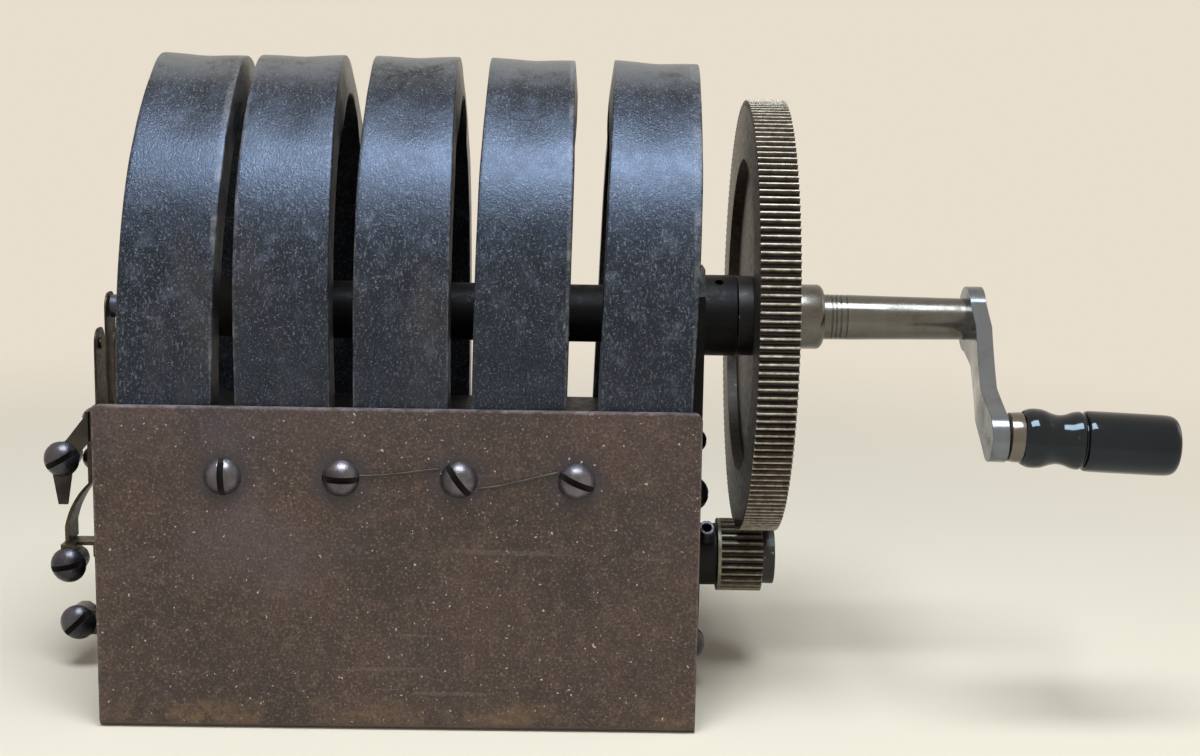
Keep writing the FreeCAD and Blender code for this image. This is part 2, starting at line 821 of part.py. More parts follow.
# Terminals: round-head screws facing the front, on bent strip lugs
def terminal_screws():
    sizes = (terminal_head_radius, terminal_head_height, terminal_shank_radius, lug_thickness)
    return Part.makeCompound([plain_screw(V(0, -1, 0), V(x, terminal_face_y, z), *sizes)
                              for x, z in terminals])


def terminal_posts():
    """Short threaded post behind each lug, in line with its screw."""
    y = terminal_face_y + lug_thickness
    return Part.makeCompound([
        bar_of_sides(V(x, y, z), AXIS_Y, terminal_post_radius, terminal_post_length, head_sides)
        for x, z in terminals])


def eye_plate(place):
    """Round end of a lug round its screw, with the hole cut later."""
    x, z = place
    return bar_of_sides(V(x, terminal_face_y, z), AXIS_Y,
                        terminal_post_radius + eye_plate_margin, lug_thickness, head_sides)


def terminal_hole(place):
    x, z = place
    return screw_hole(V(0, -1, 0), V(x, terminal_face_y, z), terminal_shank_radius, lug_thickness)


def upper_lug():
    """Strip under the upper stack screw, bent forward to the upper terminal."""
    x, z = terminals[0]
    y0 = terminal_face_y
    t = lug_thickness
    z0 = (stack_bottom + stack_top) / 2 + spring_gap
    tongue = prism([V(stack_face_x, y0, z0), V(stack_face_x, y0, stack_top),
                    V(x, y0, z + lug_half_width), V(x, y0, z - lug_half_width)], V(0, t, 0))
    foot = box(stack_face_x - t, stack_face_x, y0, stack_half_width, z0, stack_top)
    w = lug_tab_half_width
    n = lug_tip_half_width
    tip = z - lug_tab_length
    tab = prism([V(x - w, y0, z), V(x - n, y0, tip), V(x + n, y0, tip), V(x + w, y0, z)],
                V(0, t, 0))
    lug = fuse(tongue, foot, tab, eye_plate(terminals[0])).cut(terminal_hole(terminals[0]))
    return lug.cut(stack_screw_holes())


def collector_spring():
    """Curved strip from the lower stack screw down to the middle terminal, with a tongue
    that reaches back towards the end of the armature shaft."""
    x, z = terminals[1]
    w = blade_half_width
    t = lug_thickness
    left = x - strap_offset
    top = V(stack_face_x, -w, (stack_bottom + stack_top) / 2 - spring_gap)
    knee = V(stack_face_x, -w, stack_bottom - strap_knee_drop)
    foot = V(left, -w, z + strap_foot_rise)
    toe = V(left, -w, z + strap_toe_rise)
    swell = knee + (foot - knee) * strap_swell_share
    swell.z = (knee.z + foot.z) / 2 - strap_swell_drop
    shift = V(-t, 0, 0)
    bulge = V(strap_swell_normal[0] * t, 0, strap_swell_normal[1] * t)
    strip = prism([top, knee, (swell, foot), toe, toe + shift, foot + shift,
                   (swell + bulge, knee + shift), top + shift],
                  V(0, 2 * w, 0))
    reach = armature_contact_end - spring_gap
    h = tongue_half_width
    tongue = box(left - t, reach, -h, h, toe.z - t, toe.z)
    pad = box(reach - t, reach, -h, h, armature_axis_z - tongue_pad_drop, toe.z)
    ear = box(x - strap_ear_left, x + strap_ear_right, terminal_face_y, strap_ear_overlap - w,
              z + strap_ear_rise, toe.z)
    spring = fuse(strip, tongue, pad, ear, eye_plate(terminals[1]))
    return spring.cut(terminal_hole(terminals[1])).cut(stack_screw_holes())


def lower_lug():
    """Angle on the disc that carries the lower, earthed terminal."""
    x, z = terminals[2]
    y1 = terminal_face_y + lug_thickness
    h = lug_half_width
    tongue = box(x, -disc_face_x, terminal_face_y, y1, z - h, z + h)
    foot = box(-disc_face_x - lug_thickness, -disc_face_x, terminal_face_y,
               lower_lug_foot_end, z - h, z + h)
    lug = fuse(tongue, foot, eye_plate(terminals[2])).cut(terminal_hole(terminals[2]))
    return lug.cut(lower_lug_screw_hole())


def lower_lug_screw_place():
    return V(-disc_face_x - lug_thickness, lower_lug_screw_y, terminals[2][1])


def lower_lug_screw_hole():
    return screw_hole(V(-1, 0, 0), lower_lug_screw_place(), arm_shank_radius,
                      lug_thickness + bracket_disc_thickness)


def lower_lug_screw():
    return plain_screw(V(-1, 0, 0), lower_lug_screw_place(), arm_head_radius, arm_head_height,
                       arm_shank_radius, lug_thickness + bracket_disc_thickness)


def build():
    parts = {"case_channel": case_channel()}
    bar = magnet()
    for i, x in enumerate(magnet_columns):
        copy = bar.copy()
        copy.translate(V(x, 0, 0))
        parts["magnet_%d" % (i + 1)] = copy
    parts["pole_piece_front"] = pole_piece(-1, clamp_screw_z)
    parts["pole_piece_rear"] = pole_piece(1, rear_screw_z)
    parts["pole_spacer"] = pole_spacer()
    parts["pole_bridge"] = pole_bridge()
    parts["gear_end_bracket"] = gear_end_bracket()
    parts["contact_end_bracket"] = contact_end_bracket()
    parts["oil_cup"] = oil_cup(parts["gear_end_bracket"])
    parts["shaft_sleeve"] = shaft_sleeve()
    parts["clamp_screws"] = clamp_screws()
    parts["tie_wires"] = tie_wires()
    parts["bracket_screws"] = bracket_screws()
    parts["arm_screw"] = arm_screw()
    parts["gear_wheel"] = gear_wheel()
    parts["pinion"] = pinion()
    parts["armature_core"] = armature_core()
    parts["armature_winding"] = armature_winding()
    parts["armature_shaft"] = armature_shaft()
    parts["crank_shaft"] = crank_shaft()
    parts["drive_pin"] = drive_pin_blank()
    parts["crank_collar"] = crank_collar()
    parts["crank_arm"] = crank_arm()
    parts["grip_pin"] = grip_pin()
    parts["grip_ferrule"] = grip_ferrule()
    parts["grip_handle"] = grip_handle()
    parts["stack_insulators"] = stack_insulators()
    parts["stack_clamp_plate"] = stack_clamp_plate()
    parts["stack_screws"] = stack_screws()
    parts["contact_blade_inner"] = fixed_blade(stack_inner_x, -1)
    parts["contact_blade_outer"] = fixed_blade(stack_outer_x, 1)
    parts["contact_blade_foot"] = moving_blade_foot()
    parts["contact_blade_moving"] = moving_blade()
    parts["upper_lug"] = upper_lug()
    parts["collector_spring"] = collector_spring()
    parts["lower_lug"] = lower_lug()
    parts["lower_lug_screw"] = lower_lug_screw()
    parts["terminal_screws"] = terminal_screws()
    parts["terminal_posts"] = terminal_posts()
    return parts


os.makedirs("parts", exist_ok=True)
for name, shape in build().items():
    shape.exportStep("parts/%s.step" % name)
    b = shape.BoundBox
    print("%-22s solids %d valid %s volume %.1f  X %.2f..%.2f Y %.2f..%.2f Z %.2f..%.2f" % (
        name, len(shape.Solids), shape.isValid(), shape.Volume,
        b.XMin, b.XMax, b.YMin, b.YMax, b.ZMin, b.ZMax))
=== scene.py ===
import json
import math

import bmesh
import bpy
from mathutils import Matrix, Vector


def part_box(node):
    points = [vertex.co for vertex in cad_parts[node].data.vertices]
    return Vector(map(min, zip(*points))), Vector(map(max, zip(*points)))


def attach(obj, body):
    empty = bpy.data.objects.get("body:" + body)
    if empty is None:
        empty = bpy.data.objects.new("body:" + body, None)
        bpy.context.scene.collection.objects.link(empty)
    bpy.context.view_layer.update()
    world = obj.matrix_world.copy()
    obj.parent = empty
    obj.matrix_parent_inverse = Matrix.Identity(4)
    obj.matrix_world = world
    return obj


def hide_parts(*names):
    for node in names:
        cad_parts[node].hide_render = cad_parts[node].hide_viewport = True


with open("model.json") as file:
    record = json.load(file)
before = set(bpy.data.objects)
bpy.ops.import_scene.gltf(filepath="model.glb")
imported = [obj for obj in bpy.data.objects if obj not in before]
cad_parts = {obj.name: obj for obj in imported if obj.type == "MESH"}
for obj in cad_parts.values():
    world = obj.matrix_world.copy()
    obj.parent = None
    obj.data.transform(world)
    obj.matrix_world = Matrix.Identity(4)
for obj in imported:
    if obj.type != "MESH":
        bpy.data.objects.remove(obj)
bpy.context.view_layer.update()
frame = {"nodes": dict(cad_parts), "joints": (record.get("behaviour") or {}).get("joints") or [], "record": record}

mm = 0.001
mergeDistance = 0.002 * mm
softMergeDistance = 0.004 * mm
flatAngle = 0.4          # degrees; faces that turn less than this are one face
bevelAngle = 30          # degrees; edges sharper than this are rounded
nodes = frame["nodes"]
bodyOf = {node: body for body, members in frame["record"]["behaviour"]["bodies"].items()
          for node in members}


# Working tools: selecting, editing and handing pieces over

def deselectAll():
    if bpy.context.mode != "OBJECT":
        bpy.ops.object.mode_set(mode="OBJECT")
    bpy.ops.object.select_all(action="DESELECT")


def activate(piece):
    deselectAll()
    piece.select_set(True)
    bpy.context.view_layer.objects.active = piece


def startEdit(piece):
    activate(piece)
    bpy.ops.object.mode_set(mode="EDIT")


def endEdit():
    bpy.ops.object.mode_set(mode="OBJECT")


def pickPoints(piece, test):
    # points whose place passes the test are left selected in edit mode
    bpy.ops.mesh.select_mode(type="VERT")
    bpy.ops.mesh.select_all(action="DESELECT")
    work = bmesh.from_edit_mesh(piece.data)
    for point in work.verts:
        point.select_set(bool(test(point.co)))
    work.select_flush_mode()
    bmesh.update_edit_mesh(piece.data)


def addModifier(piece, kind, **settings):
    modifier = piece.modifiers.new(kind.lower(), kind)
    for key, value in settings.items():
        setattr(modifier, key, value)
    activate(piece)
    bpy.ops.object.modifier_apply(modifier=modifier.name)


def squareUp(piece):
    # object at the origin, its place in its mesh
    piece.data.transform(piece.matrix_basis)
    piece.matrix_basis = Matrix.Identity(4)


def smoothPiece(piece, degrees=32, weighted=True):
    activate(piece)
    bpy.ops.object.shade_smooth_by_angle(angle=math.radians(degrees))
    if weighted:
        addModifier(piece, "WEIGHTED_NORMAL", keep_sharp=True, weight=80)


def fixNormals(piece):
    startEdit(piece)
    bpy.ops.mesh.select_all(action="SELECT")
    bpy.ops.mesh.remove_doubles(threshold=mergeDistance)
    bpy.ops.mesh.normals_make_consistent(inside=False)
    endEdit()


def dress(piece, *coats):
    # faces keep the number of their coat where there is more than one
    numbers = [face.material_index for face in piece.data.polygons]
    piece.data.materials.clear()
    for coat in coats:
        piece.data.materials.append(coat)
    if len(coats) > 1:
        piece.data.polygons.foreach_set("material_index", numbers)


def handOver(piece, node, *coats):
    # the piece rides where the node rides and stands for it
    squareUp(piece)
    dress(piece, *coats)
    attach(piece, bodyOf[node])
    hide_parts(node)


def joinPieces(pieces, name):
    deselectAll()
    for piece in pieces:
        piece.select_set(True)
    bpy.context.view_layer.objects.active = pieces[0]
    bpy.ops.object.join()
    pieces[0].name = name
    pieces[0].data.name = name
    return pieces[0]


def copyOf(master, matrix, name):
    piece = bpy.data.objects.new(name, master.data.copy())
    piece.data.transform(matrix)
    bpy.context.scene.collection.objects.link(piece)
    return piece


def solidsOf(node):
    # the lowest and highest corner of each separate solid of a node, left to right
    mesh = nodes[node].data
    keys = [tuple(round(c / mergeDistance) for c in vertex.co) for vertex in mesh.vertices]
    parent = {key: key for key in keys}

    def root(key):
        while parent[key] != key:
            parent[key] = parent[parent[key]]
            key = parent[key]
        return key
    for polygon in mesh.polygons:
        first = root(keys[polygon.vertices[0]])
        for index in polygon.vertices[1:]:
            parent[root(keys[index])] = first
    groups = {}
    for vertex, key in zip(mesh.vertices, keys):
        groups.setdefault(root(key), []).append(vertex.co)
    boxes = [(Vector([min(p[i] for p in points) for i in range(3)]),
              Vector([max(p[i] for p in points) for i in range(3)]))
             for points in groups.values()]
    return sorted(boxes, key=lambda box: (round(box[0].x, 4), box[0].y, box[0].z))


def middle(box):
    return (box[0] + box[1]) / 2


def softened(node, name, finish, bevel, segments=2, degrees=32, reshape=None):
    # a merged copy of a node with its sharp edges rounded
    piece = bpy.data.objects.new(name, nodes[node].data.copy())
    bpy.context.scene.collection.objects.link(piece)
    startEdit(piece)
    bpy.ops.mesh.select_all(action="SELECT")
    bpy.ops.mesh.remove_doubles(threshold=softMergeDistance)
    bpy.ops.mesh.dissolve_limited(angle_limit=math.radians(flatAngle))
    if reshape:
        reshape(piece)
    endEdit()
    addModifier(piece, "BEVEL", width=bevel * mm, segments=segments, limit_method="ANGLE",
                angle_limit=math.radians(bevelAngle), use_clamp_overlap=True)
    smoothPiece(piece, degrees)
    handOver(piece, node, finish)


# Shader maths: a wire is a number or colour on its way through a material

class Wire:
    def __init__(self, finish, socket):
        self.finish = finish
        self.socket = socket

    def maths(self, operation, other, swap=False):
        pair = {0: other, 1: self} if swap else {0: self, 1: other}
        return self.finish.node("ShaderNodeMath", {"operation": operation}, pair)

    def __add__(self, other):
        return self.maths("ADD", other)

    def __sub__(self, other):
        return self.maths("SUBTRACT", other)

    def __rsub__(self, other):
        return self.maths("SUBTRACT", other, True)

    def __mul__(self, other):
        return self.maths("MULTIPLY", other)

    def __pow__(self, other):
        return self.maths("POWER", other)

    def __abs__(self):
        return self.finish.node("ShaderNodeMath", {"operation": "ABSOLUTE"}, {0: self})

    __radd__ = __add__
    __rmul__ = __mul__


def paint(red, green, blue):
    # a colour as it shows on a screen, 0 to 255, to the shader's own scale
    def linear(level):
        level /= 255
        return level / 12.92 if level <= 0.04045 else ((level + 0.055) / 1.055) ** 2.4
    return (linear(red), linear(green), linear(blue), 1)


class Finish:
    # the shader of a new material or of a new world
    def __init__(self, name, world=False):
        self.owner = (bpy.data.worlds if world else bpy.data.materials).new(name)
        self.owner.use_nodes = True
        self.tree = self.owner.node_tree
        self.tree.nodes.clear()
        self.place = self.node("ShaderNodeTexCoord", out="Object")

    def node(self, kind, settings=None, sockets=None, out=0):
        made = self.tree.nodes.new(kind)
        for key, value in (settings or {}).items():
            setattr(made, key, value)
        for key, value in (sockets or {}).items():
            if isinstance(value, Wire):
                self.tree.links.new(value.socket, made.inputs[key])
            else:
                made.inputs[key].default_value = value
        return Wire(self, made.outputs[out]) if made.outputs else made

    def axis(self, letter):
        return self.node("ShaderNodeSeparateXYZ", None, {0: self.place}, letter)

    def stretched(self, scale, turn=(0, 0, 0)):
        return self.node("ShaderNodeMapping", None,
                         {"Vector": self.place, "Scale": scale, "Rotation": turn})

    def noise(self, scale, detail=4, rough=0.55, vector=None, shift=0.0):
        return self.node("ShaderNodeTexNoise", {"noise_dimensions": "4D"},
                         {"Vector": vector or self.place, "Scale": scale, "Detail": detail,
                          "Roughness": rough, "W": shift})

    def step(self, wire, low, high, start=0.0, end=1.0):
        return self.node("ShaderNodeMapRange", {"interpolation_type": "SMOOTHSTEP"},
                         {"Value": wire, "From Min": low, "From Max": high,
                          "To Min": start, "To Max": end})

    def mix(self, factor, first, second):
        return self.node("ShaderNodeMix", {"data_type": "RGBA"},
                         {0: factor, 6: first, 7: second}, 2)

    def bump(self, height, strength, distance):
        return self.node("ShaderNodeBump", None,
                         {"Height": height, "Strength": strength, "Distance": distance})

    def surface(self, colour, roughness, metallic, normal, specular=0.5, tint=(1, 1, 1)):
        shader = self.node("ShaderNodeBsdfPrincipled", None,
                           {"Base Color": colour, "Roughness": roughness, "Metallic": metallic,
                            "Normal": normal, "Specular IOR Level": specular,
                            "Specular Tint": (*tint, 1)})
        self.node("ShaderNodeOutputMaterial", None, {"Surface": shader})
        return self.owner


print("stage: tools ready")


# Finishes

# colours are from 0 to 255 as a screen shows them, and lengths are in metres
caseLook = {"dark": (44, 33, 30), "light": (68, 51, 43), "fleck": (92, 72, 61),
            "speckle": (120, 100, 88), "pit": (26, 20, 20), "hazeAndSheen": (74, 68, 78),
            "screwShade": (42, 38, 44), "rust": (116, 90, 62), "dot": (196, 188, 182),
            "scratch": (150, 132, 118), "foot": (66, 57, 55), "top": (128, 120, 124),
            "side": (126, 112, 104), "height": 0.0653, "half": 0.0594,
            "screwShadeInner": 0.0036, "screwShadeOuter": 0.0078}


def caseFinish():
    # old brown paint gone to an even rust: a fine pale speckle, dull clouds, brighter edges; painted shade round
    # the front screws and along the bottom bend, and a painted bluish reflection toward the top left
    s = caseLook
    f = Finish("case_old_brown")
    x, z = f.axis("X"), f.axis("Z")
    cloud = f.noise(30, 6, 0.62)
    fine = f.noise(1900, 3, 0.65, shift=2.0)
    medium = f.noise(420, 5, 0.72, shift=5.0)
    colour = f.mix(f.step(cloud, 0.36, 0.66), paint(*s["dark"]), paint(*s["light"]))
    colour = f.mix(f.step(medium, 0.46, 0.70) * 0.5, colour, paint(*s["fleck"]))
    colour = f.mix(f.step(fine, 0.53, 0.68) * 0.65, colour, paint(*s["speckle"]))
    colour = f.mix(f.step(fine, 0.48, 0.36) * 0.75, colour, paint(*s["pit"]))
    # bluish haze in random clouds, plus a painted bluish reflection that grows toward the top and the left
    blue = f.step(f.noise(22, 4, 0.6, shift=7.0), 0.50, 0.68) + f.step(z, 0.05, 0.064) * 0.5
    colour = f.mix(blue * 0.35 * f.step(x, 0.03, -0.04, 0.4, 1.0), colour, paint(*s["hazeAndSheen"]))
    # a darker, bluish ring round each front screw head: painted shade
    screwShade = 0.0
    for box in solidsOf("clamp_screws"):
        if box[0].y < 0:
            across, up = x - middle(box).x, z - middle(box).z
            near = f.step((across * across + up * up) ** 0.5, s["screwShadeOuter"], s["screwShadeInner"])
            screwShade = near + screwShade
    colour = f.mix(screwShade * f.step(cloud, 0.3, 0.6, 0.35, 0.8), colour, paint(*s["screwShade"]))
    low = f.step(z, 0.0085, 0.0025) * f.step(f.noise(60, 5, 0.7, shift=9.0), 0.34, 0.60)
    patches = f.step(f.noise(24, 6, 0.72, shift=11.0), 0.58, 0.72) * f.step(z, 0.05, 0.01)
    rust = low * 0.5 + patches * 0.18
    colour = f.mix(rust * f.step(medium, 0.3, 0.6), colour, paint(*s["rust"]))
    specks = f.step(f.noise(1300, 1, 0.5, shift=8.0), 0.72, 0.76)
    colour = f.mix(specks * 0.7, colour, paint(*s["dot"]))
    scratch = f.step(f.noise(150, 2, 0.4, f.stretched((0.16, 1, 3.4), (0, 0.05, 0)), 3.0),
                     0.70, 0.73)
    colour = f.mix(scratch * 0.10, colour, paint(*s["scratch"]))
    top = f.step(z, s["height"] - 0.00055, s["height"] - 0.00015)
    # the bottom band, where the sheet bends under, is painted darker: painted shade on the bend
    foot = f.step(z, 0.0016, 0.0006)
    side = f.step(abs(x), s["half"] - 0.0005, s["half"] - 0.0001) * f.step(medium, 0.38, 0.60)
    colour = f.mix(foot * 0.7, colour, paint(*s["foot"]))
    colour = f.mix(top * f.step(medium, 0.3, 0.7) * 0.8, colour, paint(*s["top"]))
    colour = f.mix(side * 0.4, colour, paint(*s["side"]))
    rough = f.step(fine, 0.3, 0.75, 0.38, 0.58)
    normal = f.bump(fine * 0.6 + medium * 0.9 + cloud * 0.4, 0.7, 0.00025)
    return f.surface(colour, rough, 0.1, normal, 0.5)


# sheen is the tint of what the surface reflects, from 0 to 1
magnetLook = {"dark": (10, 11, 14), "light": (24, 26, 31), "stroke": (84, 85, 92),
              "mottle": (82, 86, 96), "dot": (118, 120, 126), "brown": (78, 68, 58),
              "crown": (92, 90, 88), "edge": (112, 108, 106), "sheen": (0.58, 0.72, 1.0)}


def magnetFinish(index, centre, half, crown):
    # black japanning, scratched all over in fine pale strokes and worn along its edges
    s = magnetLook
    f = Finish("magnet_black_%d" % index)
    x, z = f.axis("X"), f.axis("Z")
    shift = 3.7 * index
    cloud = f.noise(38, 5, 0.6, shift=shift)
    strokes = f.noise(2400, 3, 0.62, f.stretched((1.0, 0.4, 0.4), (0, 0.5, 0)), shift + 1)
    fine = f.noise(2600, 2, 0.6, shift=shift + 2)
    mottle = f.noise(210, 6, 0.75, shift=shift + 3)
    dense = f.step(cloud, 0.36, 0.64)
    colour = f.mix(f.step(mottle, 0.36, 0.66), paint(*s["dark"]), paint(*s["light"]))
    colour = f.mix(f.step(strokes, 0.54, 0.66) * (0.2 + dense * 0.6), colour,
                   paint(*s["stroke"]))
    colour = f.mix(f.step(mottle, 0.52, 0.70) * dense * 0.55, colour, paint(*s["mottle"]))
    colour = f.mix(f.step(fine, 0.58, 0.68) * 0.6, colour, paint(*s["dot"]))
    brown = f.step(f.noise(26, 5, 0.6, f.stretched((1.4, 1.0, 0.5)), shift + 4), 0.52, 0.68)
    colour = f.mix(brown * f.step(z, 0.108, 0.088) * 0.30, colour, paint(*s["brown"]))
    bent = f.step(z, crown - 0.0075, crown - 0.0015) * f.step(cloud + mottle, 0.7, 1.05)
    colour = f.mix(bent * 0.8, colour, paint(*s["crown"]))
    edge = f.step(abs(x - centre), half - 0.00055, half - 0.0001)
    worn = edge * f.step(f.noise(150, 6, 0.75, shift=shift + 5), 0.42, 0.66)
    colour = f.mix(worn * 0.6, colour, paint(*s["edge"]))
    rough = f.step(mottle, 0.35, 0.72, 0.27, 0.42) + f.step(cloud, 0.4, 0.7) * 0.05
    normal = f.bump(strokes * 0.5 + mottle * 0.7 + fine * 0.4, 0.6, 0.0002)
    return f.surface(colour, rough, 0.0, normal, 0.5, s["sheen"])


def darkIron(name, dark, light, scale=140, metallic=0.5, rough=(0.42, 0.7), speck=0.35,
             specular=0.5):
    # dull clouds between two dark tones, with fine pale specks
    f = Finish(name)
    cloud = f.noise(scale * 0.4, 5, 0.6, shift=1.3)
    fine = f.noise(scale * 4, 5, 0.7, shift=4.1)
    colour = f.mix(f.step(cloud, 0.35, 0.68), paint(*dark), paint(*light))
    specks = f.step(fine, 0.64, 0.76)
    colour = f.mix(specks * speck, colour, paint(150, 142, 134))
    normal = f.bump(cloud + fine * 0.8, 0.35, 0.0002)
    return f.surface(colour, f.step(fine, 0.3, 0.75, rough[0], rough[1]), metallic, normal,
                     specular)


def gearFinish(name, axisZ, tip, root, land, flank):
    # oily black sides with pale specks; worn bright lands, brown flanks and dark gaps
    f = Finish(name)
    y = f.axis("Y")
    z = f.axis("Z") - axisZ
    radius = (y * y + z * z) ** 0.5
    cloud = f.noise(70, 6, 0.65)
    fine = f.noise(700, 4, 0.7, shift=3.0)
    dry = f.step(y + cloud * 0.03, 0.004, 0.044) * 0.7
    side = f.mix(f.step(cloud, 0.36, 0.68), paint(18, 16, 16), paint(34, 30, 29))
    dust = f.mix(f.step(fine, 0.35, 0.7), paint(58, 49, 40), paint(112, 97, 80))
    side = f.mix(dry, side, dust)
    specks = f.step(f.noise(1100, 2, 0.5, shift=5.0), 0.66, 0.72)
    side = f.mix(specks * 0.6, side, paint(176, 168, 158))
    gap = f.mix(f.step(cloud, 0.4, 0.7), paint(20, 18, 18), paint(40, 35, 31))
    wall = f.mix(f.step(fine, 0.3, 0.7), paint(*flank[0]), paint(*flank[1]))
    crest = f.mix(f.step(fine, 0.35, 0.72), paint(*land[0]), paint(*land[1]))
    grimeAndShade = f.step(f.noise(95, 6, 0.7, shift=6.0), 0.50, 0.72)
    crest = f.mix(grimeAndShade * 0.55, crest, paint(*flank[1]))
    colour = f.mix(f.step(radius, root + 0.00015, root + 0.0008), gap, wall)
    colour = f.mix(f.step(radius, tip - 0.00020, tip - 0.00006), colour, crest)
    colour = f.mix(f.step(radius, root - 0.00006, root + 0.00003), side, colour)
    metallic = f.step(radius, tip - 0.0004, tip - 0.0001, 0.15, 0.75)
    rough = f.step(fine, 0.3, 0.75, 0.34, 0.58)
    lines = f.noise(260, 3, 0.6, f.stretched((9, 1, 1)))
    normal = f.bump(fine + cloud * 0.5 + lines * 0.3, 0.3, 0.00018)
    return f.surface(colour, rough, metallic, normal)


def turnedSteel(name, bright, stain, amount=0.5, lines=1.0):
    # turned and once plated: fine lathe lines round the X axis, brown stains
    f = Finish(name)
    rings = f.noise(900, 2, 0.5, f.stretched((1.0, 0.02, 0.02)))
    cloud = f.noise(85, 6, 0.68, shift=2.0)
    fine = f.noise(800, 4, 0.7, shift=6.0)
    colour = f.mix(f.step(rings, 0.3, 0.7) * 0.35, paint(*bright), paint(112, 108, 104))
    stains = f.step(cloud, 0.46, 0.72)
    colour = f.mix(stains * amount, colour, paint(*stain))
    colour = f.mix(f.step(fine, 0.62, 0.74) * 0.55, colour, paint(58, 48, 42))
    rough = f.step(cloud, 0.35, 0.75, 0.15, 0.38)
    normal = f.bump(rings * 0.8 * lines + fine * 0.4, 0.22, 0.00012)
    return f.surface(colour, rough, 0.9, normal)


def springFinish(name, dark, light):
    # strip metal, dark with age and browned in small spots
    f = Finish(name)
    cloud = f.noise(120, 5, 0.65, shift=2.2)
    fine = f.noise(900, 4, 0.7, shift=7.7)
    colour = f.mix(f.step(cloud, 0.35, 0.7), paint(*dark), paint(*light))
    colour = f.mix(f.step(fine, 0.6, 0.75) * 0.4, colour, paint(140, 120, 92))
    normal = f.bump(cloud * 0.6 + fine, 0.25, 0.00012)
    return f.surface(colour, f.step(fine, 0.3, 0.75, 0.32, 0.58), 0.75, normal)


def gripFinish():
    # black hard rubber, polished, with small scuffs
    f = Finish("grip_black_polished")
    cloud = f.noise(90, 5, 0.6)
    scuffs = f.step(f.noise(700, 5, 0.75, f.stretched((1.0, 0.35, 0.35)), 4.0), 0.62, 0.78)
    colour = f.mix(f.step(cloud, 0.4, 0.7), paint(7, 7, 9), paint(15, 14, 15))
    colour = f.mix(scuffs * 0.35, colour, paint(92, 88, 84))
    rough = f.step(cloud, 0.3, 0.75, 0.05, 0.13) + scuffs * 0.25
    normal = f.bump(f.noise(240, 3, 0.5, shift=3.0) + scuffs * 0.4, 0.10, 0.00015)
    return f.surface(colour, rough, 0.0, normal, 0.45, (0.7, 0.86, 1.0))


def fibreFinish():
    # pressed fibre sheet, its layers showing at the edges
    f = Finish("fibre_brown")
    layers = f.noise(1400, 3, 0.6, f.stretched((3.0, 0.25, 0.25)))
    colour = f.mix(f.step(layers, 0.3, 0.7), paint(54, 32, 24), paint(86, 54, 38))
    normal = f.bump(layers, 0.3, 0.0001)
    return f.surface(colour, 0.6, 0.0, normal)


def windingFinish():
    # cotton covered wire laid along the core
    f = Finish("winding_cotton")
    turns = f.node("ShaderNodeTexWave", {"wave_type": "BANDS", "bands_direction": "Z"},
                   {"Vector": f.place, "Scale": 900.0, "Distortion": 0.6})
    fluff = f.noise(1600, 4, 0.7)
    colour = f.mix(f.step(turns, 0.2, 0.8), paint(58, 30, 18), paint(122, 76, 46))
    colour = f.mix(f.step(fluff, 0.5, 0.75) * 0.4, colour, paint(150, 110, 76))
    return f.surface(colour, 0.85, 0.0, f.bump(turns + fluff * 0.3, 0.5, 0.0002))


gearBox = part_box("gear_wheel")
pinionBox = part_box("pinion")
crankZ = middle(gearBox).z
armatureZ = middle(pinionBox).z
gearRadius = (gearBox[1].z - gearBox[0].z) / 2
pinionRadius = (pinionBox[1].z - pinionBox[0].z) / 2
toothDepth = 1.19 * mm   # from the tip to the root of a tooth

finishes = {
    "case": caseFinish(),
    "pole": darkIron("pole_iron", (20, 18, 18), (40, 36, 34), 140, 0.0, (0.45, 0.7), 0.3, 0.3),
    "bracket": darkIron("bracket_iron", (9, 9, 10), (24, 22, 22), 150, 0.0, (0.4, 0.65), 0.2,
                        0.25),
    "screw": darkIron("screw_steel", (58, 54, 56), (112, 108, 113), 260, 0.8, (0.24, 0.40), 0.4),
    "black": darkIron("screw_black", (24, 23, 25), (52, 50, 53), 260, 0.6, (0.3, 0.48), 0.3),
    # near-black finish for the walls and floors of screw slots: painted shade
    "grimeAndShade": darkIron("slot_painted_shade", (9, 8, 8), (20, 17, 15), 260, 0.0, (0.6, 0.8), 0.1, 0.2),
    "gear": gearFinish("gear_steel", crankZ, gearRadius, gearRadius - toothDepth,
                       ((122, 114, 102), (186, 180, 168)), ((44, 37, 31), (92, 80, 66))),
    "pinion": gearFinish("pinion_steel", armatureZ, pinionRadius, pinionRadius - toothDepth,
                         ((116, 110, 96), (168, 160, 142)), ((66, 60, 50), (104, 96, 82))),
    "shank": turnedSteel("shank_worn_plate", (102, 100, 95), (60, 50, 41), 0.75),
    "shaft": darkIron("shaft_dull_steel", (44, 45, 56), (82, 84, 98), 200, 0.7, (0.3, 0.5), 0.2),
    "arm": turnedSteel("arm_forged_steel", (116, 123, 131), (58, 52, 47), 0.65, 0.15),
    "ferrule": turnedSteel("ferrule_dark", (112, 106, 98), (66, 56, 46), 0.7),
    "grip": gripFinish(),
    "fibre": fibreFinish(),
    "winding": windingFinish(),
    "spring": springFinish("spring_bronze_dark", (42, 36, 31), (86, 72, 56)),
    "lug": springFinish("lug_dark", (36, 33, 32), (70, 64, 58)),
    "terminal": darkIron("terminal_steel", (42, 41, 46), (86, 84, 90), 240, 0.8, (0.24, 0.42),
                         0.35),
    "wire": darkIron("wire_dull", (46, 42, 40), (86, 79, 74), 300, 0.6, (0.4, 0.6), 0.2),
}
print("stage: finishes ready")


# Magnets: one bar swept round the horseshoe, then copied

